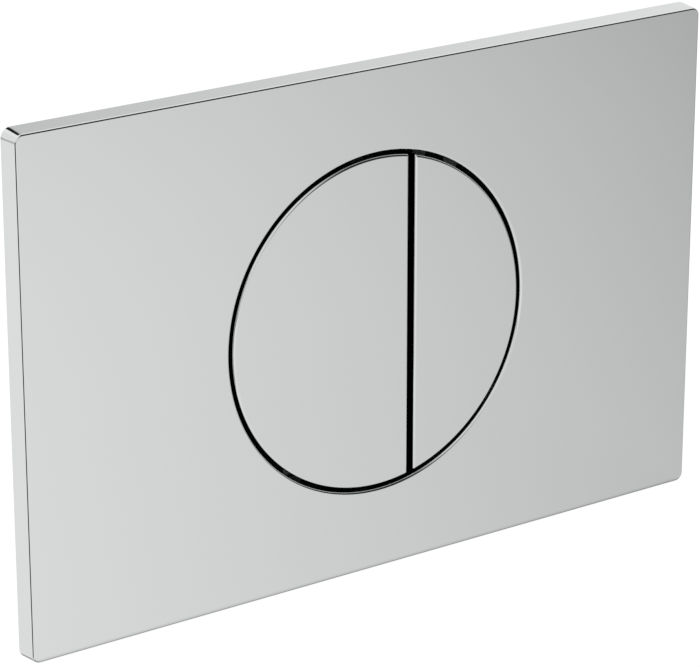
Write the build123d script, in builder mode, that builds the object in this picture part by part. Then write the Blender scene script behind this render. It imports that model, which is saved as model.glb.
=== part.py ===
from build123d import *
from math import hypot, pi, radians, sin, sqrt
import os

# Dual flush plate for a concealed cistern. X runs to the right, Y into the wall and Z up.
# The origin is the middle of the plate on the wall's surface.
# A stand-off is a distance from the wall towards the user, so it is negative inside the wall.
# Sketches lie on Plane.XZ, whose offset is the stand-off.

os.makedirs("parts", exist_ok=True)

# Front plate
plate_width = 234.0
plate_height = 152.7
plate_depth = 6.6
plate_draft = 5.2
plate_corner = 3.0
plate_edge = 0.6
plate_skin = 2.0
plate_skirt = 2.0
plate_back = plate_depth - plate_skin

# Round opening with its collar
opening_radius = 51.0
opening_edge = 0.8
collar_wall = 1.6
collar_depth = 5.5
collar_end = plate_depth - collar_depth

# Button caps: one disc parted by an upright gap
button_gap = 1.2
button_radius = opening_radius - button_gap
split_centre = 11.4
split_gap = 2.2
button_edge = 0.8
button_tip = 0.4
button_skin = 2.0
button_rim = 1.5
button_depth = 5.0
button_back = plate_depth - button_skin
button_end = plate_depth - button_depth
stake_radius = 1.5
stake_overhang = 0.6
stake_play = 0.2

# Rockers under the caps, hung from one pin above the opening
rocker_play = 0.2
rocker_plate = 2.0
rocker_back = button_back - rocker_plate
rocker_rib = 2.0
rocker_rib_height = 1.8
rocker_rib_reach = 31.0
press_angle = 3.0
hinge_set = 7.5
hinge_standoff = plate_depth - hinge_set
pin_radius = 1.5
pin_play = 0.05
pin_overhang = 1.0
eye_radius = 2.8
eye_clearance = 1.0
hinge_height = opening_radius + collar_wall + eye_clearance + eye_radius
arm_width = 4.5
arm_rise = 1.5
arm_sink = 1.8
arm_front = hinge_standoff + arm_rise
arm_back = hinge_standoff - arm_sink
arm_root = 20.0
arm_heel = 34.0
rim_clearance = 1.0
tab_width = 6.0
tab_thickness = 2.2
tab_overhang = 2.0
buffer_thickness = 1.2
buffer_side = 4.0
pusher_radius = 4.5
pusher_set = 8.2
pusher_end = plate_depth - pusher_set
seat_width = 5.0
seat_height = 3.0

# Torsion springs on the pin
spring_wire = 0.35
spring_wire_sides = 6
spring_radius = 2.45
spring_pitch = 1.0
spring_turns = 2.75
spring_leg = 21.0
spring_end_play = 0.05

# Carrier behind the opening
carrier_width = 132.0
carrier_corner = 8.0
carrier_set = 6.0
carrier_seat = plate_depth - carrier_set
carrier_flange = 2.0
carrier_wall = 1.6
carrier_floor = 1.8
floor_clearance = 0.5
well_clearance = 1.4
pocket_clearance = 0.5
pocket_overhang = 3.0
pocket_foot = 30.0
pocket_margin = 0.4
lug_width = 3.0
lug_radius = 3.0
pocket_top = hinge_height + lug_radius + pocket_clearance
carrier_height = 2 * (pocket_top + carrier_wall + pocket_margin)
side_play = 0.3
carrier_rib_x = 40.0
carrier_rib = 1.6
carrier_rib_height = 1.4

# Screws that hold the carrier
screw_x = 52.0
screw_z = 44.0
screw_radius = 1.5
screw_play = 0.05
screw_grip = 3.6
screw_tip = 0.5
screw_head_radius = 2.8
screw_head = 1.8
screw_head_chamfer = 0.6
boss_radius = 3.5

# Ribs and snap hooks behind the plate
rib_width = 1.2
rib_height = 2.0
hook_x = 84.0
hook_z = 44.0
hook_width = 10.0
hook_thickness = 2.0
hook_reach = 1.4
hook_tip = 2.4
hook_play = 0.4
hook_flex = 1.8

# Mounting frame on the wall
flange_play = 2.0
flange_width = plate_width - 2 * (plate_skirt + flange_play)
flange_height = plate_height - 2 * (plate_skirt + flange_play)
flange_corner = 6.0
flange_thickness = 1.8
frame_wall = 2.0
frame_corner = 5.0
frame_depth = 8.0
frame_web = 2.5
frame_margin = 9.6
frame_width = 2 * (hook_x + hook_thickness / 2 + hook_play + frame_margin + frame_wall)
window_side_play = 4.0
window_play = 1.25
window_width = carrier_width + 2 * window_side_play
window_height = carrier_height + 2 * window_play
frame_height = window_height + 2 * frame_wall
bridge_gap = 2.0
bridge_thickness = 3.0
bridge_height = 18.0
bridge_rib = 2.0
bridge_rib_height = 3.0

# Fixing studs, washers and wing nuts
stud_radius = 3.0
stud_length = 26.0
stud_collar_radius = 5.5
stud_collar = 2.5
stud_chamfer = 0.6
nut_thread_radius = 2.5
thread_play = 0.05
stud_lead = 1.2
slot_length = 12.0
slot_play = 0.3
washer_radius = 6.5
washer_thickness = 1.0
washer_margin = 1.5
stud_x = window_width / 2 + frame_wall + washer_radius + washer_margin
nut_radius = 4.8
nut_height = 5.0
wing_span = 24.0
wing_thickness = 2.2
wing_rise = 2.2
wing_corner = 1.5

# Push rods, their guides and screwed caps
full_rod_x = -22.0
half_rod_x = 29.0
rod_z = -20.0
rod_radius = 3.0
rod_length = 43.0
rod_tip_radius = 2.5
rod_tip_length = 26.0
rod_chamfer = 0.8
rod_free_play = 0.1
rod_cap_radius = 5.0
rod_cap_height = 5.2
rod_cap_dome = 12.0
rod_cap_top = 1.2
floor_hole_play = 1.5
guide_play = 0.05
guide_wall = 1.5
guide_flange = 2.0
guide_flange_thickness = 1.5
guide_tail = 4.0

# Where each rocker has its arms, tabs, stakes, spring seat and pusher
full_edge = split_centre - split_gap / 2
half_edge = split_centre + split_gap / 2
full_arms = (-24.0, -4.0)
half_arms = (18.0, 29.0)
full_tabs = (-26.0, -2.0)
half_tabs = (24.0,)
full_stakes = ((-38.0, 0.0), (-13.0, 20.0), (-13.0, -32.0))
half_stakes = ((23.5, 14.0), (23.5, -12.0), (41.0, 0.0))
full_spring_x = -9.0
half_spring_x = 25.0

# Levels that several pieces share
rod_face = pusher_end - rod_free_play
tab_front = collar_end - buffer_thickness
tab_back = tab_front - tab_thickness
tab_reach = opening_radius + collar_wall + tab_overhang
press_travel = (hinge_height + tab_reach) * sin(radians(press_angle))
floor_front = tab_back - press_travel - floor_clearance
floor_back = floor_front - carrier_floor
carrier_back = carrier_seat - carrier_flange
well_radius = tab_reach + well_clearance
bridge_front = floor_back - carrier_rib_height - bridge_gap
bridge_depth = bridge_thickness - bridge_front
web_front = frame_web - frame_depth
guide_radius = rod_radius + guide_play + guide_wall
guide_front = bridge_front + guide_flange_thickness
nut_base = web_front + washer_thickness
nut_front = nut_base + nut_height
leg_drift = spring_leg * spring_pitch / hypot(2 * pi * spring_radius, spring_pitch)
seat_shift = spring_pitch * spring_turns + leg_drift


def half_chord(x, radius, width=0.0):
    """Half height of a circle of this radius at the outer side of an upright bar at x."""
    return sqrt(radius**2 - (abs(x) + width / 2) ** 2)


def make_cap(edge, keep, stakes):
    """Chromed half-moon shell with stakes that hold its rocker."""
    side = 1 if keep == Keep.TOP else -1
    with BuildPart() as cap:
        with BuildSketch(Plane.XZ.offset(button_end)) as outline:
            Circle(button_radius)
            split(bisect_by=Plane.YZ.offset(edge), keep=keep)
            fillet(outline.vertices(), button_tip)
        extrude(amount=button_depth)
        front = cap.faces().sort_by(Axis.Y)[0]
        fillet(front.edges(), button_edge)
        with BuildSketch(Plane.XZ.offset(button_end)):
            Circle(button_radius - button_rim)
            split(bisect_by=Plane.YZ.offset(edge + side * button_rim), keep=keep)
        extrude(amount=button_depth - button_skin, mode=Mode.SUBTRACT)
        with BuildSketch(Plane.XZ.offset(rocker_back - stake_overhang)):
            with Locations(*stakes):
                Circle(stake_radius)
        extrude(amount=button_back - rocker_back + stake_overhang)
    return cap


def make_rocker(edge, keep, arms, tabs, stakes, rod_x, spring_x):
    """Lever plate in the cap, with hinge arms, stop tabs, pusher boss and spring seat."""
    side = 1 if keep == Keep.TOP else -1
    plate_radius = button_radius - button_rim - rocker_play
    seat_end = hinge_standoff - spring_radius + spring_wire
    with BuildPart() as rocker:
        with BuildSketch(Plane.XZ.offset(rocker_back)):
            Circle(plate_radius)
            split(bisect_by=Plane.YZ.offset(edge + side * (button_rim + rocker_play)), keep=keep)
        extrude(amount=rocker_plate)
        with BuildSketch(Plane.XZ.offset(rocker_back - rocker_rib_height)):
            with Locations(*[(x, 0) for x in arms]):
                Rectangle(rocker_rib, 2 * rocker_rib_reach)
        extrude(amount=rocker_rib_height)
        with BuildSketch(Plane.XZ.offset(pusher_end)):
            with Locations((rod_x, rod_z)):
                Circle(pusher_radius)
        extrude(amount=rocker_back - pusher_end)
        for x in arms:
            rim = half_chord(x, button_radius - button_rim, arm_width) - rim_clearance
            with BuildSketch(Plane.YZ.offset(x)):
                with BuildLine():
                    Polyline(
                        (-rocker_back, arm_root),
                        (-rocker_back, rim),
                        (-arm_front, rim),
                        (-arm_front, hinge_height),
                        (-arm_back, hinge_height),
                        (-arm_back, arm_heel),
                        close=True,
                    )
                make_face()
                with Locations((-hinge_standoff, hinge_height)):
                    Circle(eye_radius)
            extrude(amount=arm_width / 2, both=True)
        for x in tabs:
            rim = half_chord(x, button_radius - button_rim, tab_width) - rim_clearance
            reach = half_chord(x, tab_reach, tab_width)
            with BuildSketch(Plane.YZ.offset(x)):
                with BuildLine():
                    Polyline(
                        (-rocker_back, -arm_root),
                        (-rocker_back, -rim),
                        (-tab_front, -rim),
                        (-tab_front, -reach),
                        (-tab_back, -reach),
                        (-tab_back, -arm_heel),
                        close=True,
                    )
                make_face()
            extrude(amount=tab_width / 2, both=True)
        with BuildSketch(Plane.XZ.offset(seat_end)):
            with Locations((spring_x - seat_shift, hinge_height - spring_leg + seat_height / 2)):
                Rectangle(seat_width, seat_height)
        extrude(amount=rocker_back - seat_end)
        with BuildSketch(Plane.YZ):
            with Locations((-hinge_standoff, hinge_height)):
                Circle(pin_radius + pin_play)
        extrude(amount=plate_width / 2, both=True, mode=Mode.SUBTRACT)
        with BuildSketch(Plane.XZ.offset(rocker_back)):
            with Locations(*stakes):
                Circle(stake_radius + stake_play)
        extrude(amount=rocker_plate, mode=Mode.SUBTRACT)
    return rocker


def make_buffers(tabs):
    """Soft pads between the stop tabs and the collar's rear edge."""
    with BuildPart() as buffers:
        with BuildSketch(Plane.XZ.offset(tab_front)):
            for x in tabs:
                with Locations((x, -half_chord(x, opening_radius + collar_wall / 2))):
                    Rectangle(buffer_side, buffer_side)
        extrude(amount=buffer_thickness)
    return buffers


def make_spring(start_x):
    """Torsion spring: one leg reaches the carrier's floor, the other the rocker's seat."""
    with BuildPart() as spring:
        with BuildLine() as path:
            coil = Helix(
                spring_pitch,
                spring_pitch * spring_turns,
                spring_radius,
                center=(start_x, -hinge_standoff, hinge_height),
                direction=(-1, 0, 0),
            )
            floor_leg = hinge_standoff - floor_front - spring_end_play
            Line(coil @ 0, (coil @ 0) - (coil % 0) * floor_leg)
            Line(coil @ 1, (coil @ 1) + (coil % 1) * spring_leg)
        wire = path.wires()[0]
        with BuildSketch(Plane(wire @ 0, z_dir=wire % 0)):
            RegularPolygon(spring_wire, spring_wire_sides)
        sweep(path=wire)
    return spring


def make_rod(x):
    """Push rod with a slimmer tip for the flush valve's lever."""
    with BuildPart() as rod:
        with BuildSketch(Plane.XZ.offset(rod_face - rod_cap_top)):
            with Locations((x, rod_z)):
                Circle(rod_radius)
        extrude(amount=-rod_length)
        with BuildSketch(Plane.XZ.offset(rod_face - rod_cap_top - rod_length)):
            with Locations((x, rod_z)):
                Circle(rod_tip_radius)
        extrude(amount=-rod_tip_length)
        chamfer(rod.faces().sort_by(Axis.Y)[-1].edges(), rod_chamfer)
    return rod


def make_rod_cap(x):
    """Domed cap screwed on the rod's front end."""
    with BuildPart() as rod_cap:
        with BuildSketch(Plane.XZ.offset(rod_face - rod_cap_height)):
            with Locations((x, rod_z)):
                Circle(rod_cap_radius)
        extrude(amount=rod_cap_height)
        with Locations((x, rod_cap_dome - rod_face, rod_z)):
            Sphere(rod_cap_dome, mode=Mode.INTERSECT)
        with BuildSketch(Plane.XZ.offset(rod_face - rod_cap_height)):
            with Locations((x, rod_z)):
                Circle(rod_radius)
        extrude(amount=rod_cap_height - rod_cap_top, mode=Mode.SUBTRACT)
    return rod_cap


def make_guide(x):
    """Flanged bush in the bridge."""
    tail = -bridge_depth - guide_tail
    with BuildPart() as guide:
        with BuildSketch(Plane.XZ.offset(tail)):
            with Locations((x, rod_z)):
                Circle(guide_radius)
        extrude(amount=guide_front - tail)
        with BuildSketch(Plane.XZ.offset(bridge_front)):
            with Locations((x, rod_z)):
                Circle(guide_radius + guide_flange)
        extrude(amount=guide_flange_thickness)
        with BuildSketch(Plane.XZ.offset(tail)):
            with Locations((x, rod_z)):
                Circle(rod_radius + guide_play)
        extrude(amount=guide_front - tail, mode=Mode.SUBTRACT)
    return guide


def make_stud(x):
    """Stud with a collar behind the frame's web and a finer thread for the wing nut."""
    collar_back = -frame_depth - stud_collar
    with BuildPart() as stud:
        with BuildSketch(Plane.XZ.offset(collar_back)):
            with Locations((x, 0)):
                Circle(stud_collar_radius)
        extrude(amount=stud_collar)
        with BuildSketch(Plane.XZ.offset(collar_back)):
            with Locations((x, 0)):
                Circle(stud_radius)
        extrude(amount=-stud_length)
        with BuildSketch(Plane.XZ.offset(-frame_depth)):
            with Locations((x, 0)):
                Circle(nut_thread_radius)
        extrude(amount=nut_front + stud_lead + frame_depth)
        ends = stud.faces().sort_by(Axis.Y)
        chamfer(ends[0].edges() + ends[-1].edges(), stud_chamfer)
    return stud


def make_washer(x):
    """Plain washer between the web and the wing nut."""
    with BuildPart() as washer:
        with BuildSketch(Plane.XZ.offset(web_front)):
            with Locations((x, 0)):
                Circle(washer_radius)
                Circle(nut_thread_radius + slot_play, mode=Mode.SUBTRACT)
        extrude(amount=washer_thickness)
    return washer


def make_wing_nut(x):
    """Round hub with two upright wings."""
    with BuildPart() as wing_nut:
        with BuildSketch(Plane.XZ.offset(nut_base)):
            with Locations((x, 0)):
                Circle(nut_radius)
        extrude(amount=nut_height)
        wing_top = nut_front + wing_rise
        wing_foot = nut_base + wing_rise
        with BuildSketch(Plane.YZ.offset(x)) as wings:
            with Locations((-(wing_top + wing_foot) / 2, 0)):
                RectangleRounded(wing_top - wing_foot, wing_span, wing_corner)
            with Locations((-wing_top, 0)):
                Rectangle(2 * wing_rise, 2 * nut_radius, mode=Mode.SUBTRACT)
        extrude(amount=wing_thickness / 2, both=True)
        with BuildSketch(Plane.XZ.offset(nut_base)):
            with Locations((x, 0)):
                Circle(nut_thread_radius + thread_play)
        extrude(amount=nut_height + wing_rise, mode=Mode.SUBTRACT)
    return wing_nut


# Front plate: shell, ribs, bosses, collar, hooks, then the opening
inner_width = plate_width - 2 * plate_skirt
inner_height = plate_height - 2 * plate_skirt
hook_catch = -frame_depth
with BuildPart() as front_plate:
    with BuildSketch(Plane.XZ):
        RectangleRounded(plate_width, plate_height, plate_corner)
    extrude(amount=plate_depth, taper=plate_draft)
    fillet(front_plate.faces().sort_by(Axis.Y)[0].edges(), plate_edge)
    with BuildSketch(Plane.XZ):
        RectangleRounded(inner_width, inner_height, plate_corner - plate_skirt)
    extrude(amount=plate_back, taper=plate_draft, mode=Mode.SUBTRACT)
    with BuildSketch(Plane.XZ.offset(plate_back - rib_height)):
        with GridLocations(0, 2 * screw_z, 1, 2):
            Rectangle(inner_width, rib_width)
        Rectangle(inner_width, rib_width)
        with GridLocations(2 * screw_x, 0, 2, 1):
            Rectangle(rib_width, inner_height)
        with GridLocations(2 * hook_x, 0, 2, 1):
            Rectangle(rib_width, inner_height)
    extrude(amount=rib_height)
    with BuildSketch(Plane.XZ.offset(carrier_seat)):
        with GridLocations(2 * screw_x, 2 * screw_z, 2, 2):
            Circle(boss_radius)
    extrude(amount=plate_back - carrier_seat)
    with BuildSketch(Plane.XZ.offset(collar_end)):
        Circle(opening_radius + collar_wall)
    extrude(amount=plate_back - collar_end)
    with BuildSketch(Plane.XY.offset(hook_z), Plane.XY.offset(-hook_z)):
        with BuildLine():
            Polyline(
                (hook_x - hook_thickness / 2, -plate_back),
                (hook_x + hook_thickness / 2, -plate_back),
                (hook_x + hook_thickness / 2, -hook_catch),
                (hook_x + hook_thickness / 2 + hook_reach, -hook_catch),
                (hook_x, -hook_catch + hook_tip),
                (hook_x - hook_thickness / 2, -hook_catch + hook_tip),
                close=True,
            )
        make_face()
        mirror(about=Plane.YZ)
    extrude(amount=hook_width / 2, both=True)
    with BuildSketch(Plane.XZ.offset(collar_end)):
        Circle(opening_radius)
    extrude(amount=collar_depth, mode=Mode.SUBTRACT)
    with BuildSketch(Plane.XZ.offset(carrier_seat)):
        with GridLocations(2 * screw_x, 2 * screw_z, 2, 2):
            Circle(screw_radius + screw_play)
    extrude(amount=screw_grip, mode=Mode.SUBTRACT)
    lip = front_plate.faces().sort_by(Axis.Y)[0].edges().filter_by(GeomType.CIRCLE).sort_by(Edge.length)[-1]
    fillet(lip, opening_edge)

# Carrier: flange on the bosses, round well, hinge pocket with bearing lugs
lug_places = (
    full_arms[0] - arm_width / 2 - side_play - lug_width / 2,
    full_arms[1] + arm_width / 2 + side_play + lug_width / 2,
    half_arms[0] - arm_width / 2 - side_play - lug_width / 2,
    half_arms[1] + arm_width / 2 + side_play + lug_width / 2,
)
pin_start = lug_places[0] - lug_width / 2 - pin_overhang
pin_stop = lug_places[-1] + lug_width / 2 + pin_overhang
pocket_width = pin_stop - pin_start + 2 * pocket_overhang
pocket_middle = (pin_stop + pin_start) / 2
pocket_centre = (pocket_middle, (pocket_top + pocket_foot) / 2)
with BuildPart() as button_carrier:
    with BuildSketch(Plane.XZ.offset(carrier_back)):
        RectangleRounded(carrier_width, carrier_height, carrier_corner)
    extrude(amount=carrier_flange)
    with BuildSketch(Plane.XZ.offset(floor_back)):
        Circle(well_radius + carrier_wall)
        with Locations((pocket_middle, (pocket_top + carrier_wall + pocket_foot) / 2)):
            Rectangle(pocket_width + 2 * carrier_wall, pocket_top + carrier_wall - pocket_foot)
    extrude(amount=carrier_seat - floor_back)
    with BuildSketch(Plane.XZ.offset(floor_back - carrier_rib_height)):
        Rectangle(2 * well_radius, carrier_rib)
        with GridLocations(2 * carrier_rib_x, 0, 2, 1):
            Rectangle(carrier_rib, well_radius)
    extrude(amount=carrier_rib_height)
    with BuildSketch(Plane.XZ.offset(floor_front)):
        Circle(well_radius)
        with Locations(pocket_centre):
            Rectangle(pocket_width, pocket_top - pocket_foot)
    extrude(amount=carrier_seat - floor_front, mode=Mode.SUBTRACT)
    with BuildSketch(*[Plane.YZ.offset(x) for x in lug_places]):
        with Locations((-hinge_standoff, hinge_height)):
            Circle(lug_radius)
        with Locations((-(hinge_standoff + floor_front) / 2, hinge_height)):
            Rectangle(hinge_standoff - floor_front, 2 * lug_radius)
    extrude(amount=lug_width / 2, both=True)
    with BuildSketch(Plane.YZ.offset(pin_start)):
        with Locations((-hinge_standoff, hinge_height)):
            Circle(pin_radius + pin_play)
    extrude(amount=pocket_width, mode=Mode.SUBTRACT)
    with BuildSketch(Plane.XZ.offset(floor_back - carrier_rib_height)):
        with Locations((full_rod_x, rod_z), (half_rod_x, rod_z)):
            Circle(rod_cap_radius + floor_hole_play)
    extrude(amount=carrier_floor + carrier_rib_height, mode=Mode.SUBTRACT)
    with BuildSketch(Plane.XZ.offset(carrier_back)):
        with GridLocations(2 * screw_x, 2 * screw_z, 2, 2):
            Circle(screw_radius + screw_play)
    extrude(amount=carrier_flange, mode=Mode.SUBTRACT)

# Screws: heads under the carrier's flange, shanks in the plate's bosses
with BuildPart() as carrier_screws:
    with BuildSketch(Plane.XZ.offset(carrier_back)):
        with GridLocations(2 * screw_x, 2 * screw_z, 2, 2):
            Circle(screw_radius)
    extrude(amount=carrier_flange + screw_grip - screw_tip)
    with BuildSketch(Plane.XZ.offset(carrier_back - screw_head)):
        with GridLocations(2 * screw_x, 2 * screw_z, 2, 2):
            Circle(screw_head_radius)
    extrude(amount=screw_head)
    chamfer(carrier_screws.faces().group_by(Axis.Y)[-1].edges(), screw_head_chamfer)

# Hinge pin
with BuildPart() as hinge_pin:
    with BuildSketch(Plane.YZ.offset(pin_start)):
        with Locations((-hinge_standoff, hinge_height)):
            Circle(pin_radius)
    extrude(amount=pin_stop - pin_start)

# Mounting frame: flange on the wall, walls, two webs and a bridge for the rods
cheek_width = (frame_width - window_width) / 2 - 2 * frame_wall
cheek_x = window_width / 2 + frame_wall + cheek_width / 2
leg_x = (window_width + frame_wall) / 2
slot_radius = nut_thread_radius + slot_play
hook_window_near = hook_x - hook_thickness / 2 - hook_flex
hook_window_far = hook_x + hook_thickness / 2 + hook_play
hook_window_x = (hook_window_near + hook_window_far) / 2
with BuildPart() as mounting_frame:
    with BuildSketch(Plane.XZ):
        RectangleRounded(flange_width, flange_height, flange_corner)
    extrude(amount=flange_thickness)
    with BuildSketch(Plane.XZ.offset(-frame_depth)):
        RectangleRounded(frame_width, frame_height, frame_corner)
    extrude(amount=frame_depth)
    with BuildSketch(Plane.XZ.offset(-frame_depth)):
        Rectangle(window_width, window_height)
    extrude(amount=frame_depth + flange_thickness, mode=Mode.SUBTRACT)
    with BuildSketch(Plane.XZ.offset(web_front)):
        with GridLocations(2 * cheek_x, 0, 2, 1):
            RectangleRounded(cheek_width, window_height, frame_corner - frame_wall)
    extrude(amount=flange_thickness - web_front, mode=Mode.SUBTRACT)
    with BuildSketch(Plane.XZ.offset(-bridge_depth)):
        with Locations((0, rod_z)):
            Rectangle(window_width + 2 * frame_wall, bridge_height)
    extrude(amount=bridge_thickness)
    with BuildSketch(Plane.XZ.offset(-bridge_depth)):
        with Locations((-leg_x, rod_z), (leg_x, rod_z)):
            Rectangle(frame_wall, bridge_height)
    extrude(amount=bridge_depth - frame_depth)
    with BuildSketch(Plane.XZ.offset(-bridge_depth - bridge_rib_height)):
        with Locations((0, rod_z)):
            with GridLocations(0, bridge_height - bridge_rib, 1, 2):
                Rectangle(window_width, bridge_rib)
    extrude(amount=bridge_rib_height)
    with BuildSketch(Plane.XZ.offset(-bridge_depth)):
        with Locations((full_rod_x, rod_z), (half_rod_x, rod_z)):
            Circle(guide_radius)
    extrude(amount=bridge_thickness, mode=Mode.SUBTRACT)
    with BuildSketch(Plane.XZ.offset(-frame_depth)):
        with GridLocations(2 * stud_x, 0, 2, 1):
            SlotOverall(slot_length, 2 * slot_radius)
        with GridLocations(2 * hook_window_x, 2 * hook_z, 2, 2):
            Rectangle(hook_window_far - hook_window_near, hook_width + 2 * hook_play)
    extrude(amount=frame_web, mode=Mode.SUBTRACT)

pieces = {
    "front_plate": front_plate,
    "full_flush_button": make_cap(full_edge, Keep.BOTTOM, full_stakes),
    "half_flush_button": make_cap(half_edge, Keep.TOP, half_stakes),
    "full_flush_rocker": make_rocker(
        full_edge, Keep.BOTTOM, full_arms, full_tabs, full_stakes, full_rod_x, full_spring_x
    ),
    "half_flush_rocker": make_rocker(
        half_edge, Keep.TOP, half_arms, half_tabs, half_stakes, half_rod_x, half_spring_x
    ),
    "full_flush_buffers": make_buffers(full_tabs),
    "half_flush_buffer": make_buffers(half_tabs),
    "hinge_pin": hinge_pin,
    "full_flush_spring": make_spring(full_spring_x),
    "half_flush_spring": make_spring(half_spring_x),
    "button_carrier": button_carrier,
    "carrier_screws": carrier_screws,
    "mounting_frame": mounting_frame,
    "left_fixing_stud": make_stud(-stud_x),
    "right_fixing_stud": make_stud(stud_x),
    "left_washer": make_washer(-stud_x),
    "right_washer": make_washer(stud_x),
    "left_wing_nut": make_wing_nut(-stud_x),
    "right_wing_nut": make_wing_nut(stud_x),
    "full_flush_rod_guide": make_guide(full_rod_x),
    "half_flush_rod_guide": make_guide(half_rod_x),
    "full_flush_push_rod": make_rod(full_rod_x),
    "half_flush_push_rod": make_rod(half_rod_x),
    "full_flush_rod_cap": make_rod_cap(full_rod_x),
    "half_flush_rod_cap": make_rod_cap(half_rod_x),
}
for name, piece in pieces.items():
    piece.part.label = name
    export_step(piece.part, f"parts/{name}.step")
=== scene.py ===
import math
from typing import NamedTuple

import bpy
from bpy.props import FloatProperty, FloatVectorProperty, IntProperty, PointerProperty
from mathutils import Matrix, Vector


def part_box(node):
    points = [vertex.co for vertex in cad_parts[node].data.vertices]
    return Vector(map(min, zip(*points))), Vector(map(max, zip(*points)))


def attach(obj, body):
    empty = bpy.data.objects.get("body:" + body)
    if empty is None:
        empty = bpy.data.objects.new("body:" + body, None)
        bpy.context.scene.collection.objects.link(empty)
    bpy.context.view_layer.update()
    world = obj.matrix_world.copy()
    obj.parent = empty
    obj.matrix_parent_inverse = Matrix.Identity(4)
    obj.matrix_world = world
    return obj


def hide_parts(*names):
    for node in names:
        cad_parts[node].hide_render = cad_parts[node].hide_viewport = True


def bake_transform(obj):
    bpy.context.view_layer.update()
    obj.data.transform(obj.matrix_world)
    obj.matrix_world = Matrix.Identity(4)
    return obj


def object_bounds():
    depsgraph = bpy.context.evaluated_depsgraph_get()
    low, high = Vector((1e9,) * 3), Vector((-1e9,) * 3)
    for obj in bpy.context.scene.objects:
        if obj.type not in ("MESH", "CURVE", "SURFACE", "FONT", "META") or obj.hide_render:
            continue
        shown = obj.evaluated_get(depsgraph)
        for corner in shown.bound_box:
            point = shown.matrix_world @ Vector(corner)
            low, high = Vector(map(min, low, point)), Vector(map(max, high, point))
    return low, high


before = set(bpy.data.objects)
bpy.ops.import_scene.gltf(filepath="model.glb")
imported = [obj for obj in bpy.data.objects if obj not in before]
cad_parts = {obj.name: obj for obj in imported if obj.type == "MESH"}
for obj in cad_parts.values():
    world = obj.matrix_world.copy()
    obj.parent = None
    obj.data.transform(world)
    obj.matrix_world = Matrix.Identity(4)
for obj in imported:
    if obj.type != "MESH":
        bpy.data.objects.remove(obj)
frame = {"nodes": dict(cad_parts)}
cad_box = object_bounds()

bl_info = {
    "name": "Flush plate dressing",
    "version": (1, 0, 0),
    "blender": (4, 5, 0),
    "location": "3D View > Sidebar > Flush plate",
    "description": "Finishes, threads, springs and studio for a chromed dual flush plate",
    "category": "Object",
}


def size_property(name, description, default):
    """A length in metres."""
    return FloatProperty(name=name, description=description, default=default, precision=5, unit="LENGTH")


def place_property(name, description, default):
    """A place, or a step from one, in metres."""
    return FloatVectorProperty(
        name=name, description=description, default=default, precision=5, unit="LENGTH"
    )


def colour_property(name, description, default):
    """A linear colour."""
    return FloatVectorProperty(
        name=name, description=description, default=default, subtype="COLOR", size=3, min=0.0, max=1.0
    )


def level_property(name, description, default):
    """A brightness or a share, where 1 is white or whole."""
    return FloatProperty(name=name, description=description, default=default)


def slope_property(name, description, default):
    """A direction, or a change along each axis."""
    return FloatVectorProperty(name=name, description=description, default=default, subtype="XYZ")


def range_property(name, description, default):
    """Two limits that a change runs between."""
    return FloatVectorProperty(name=name, description=description, default=default, size=2)


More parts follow.
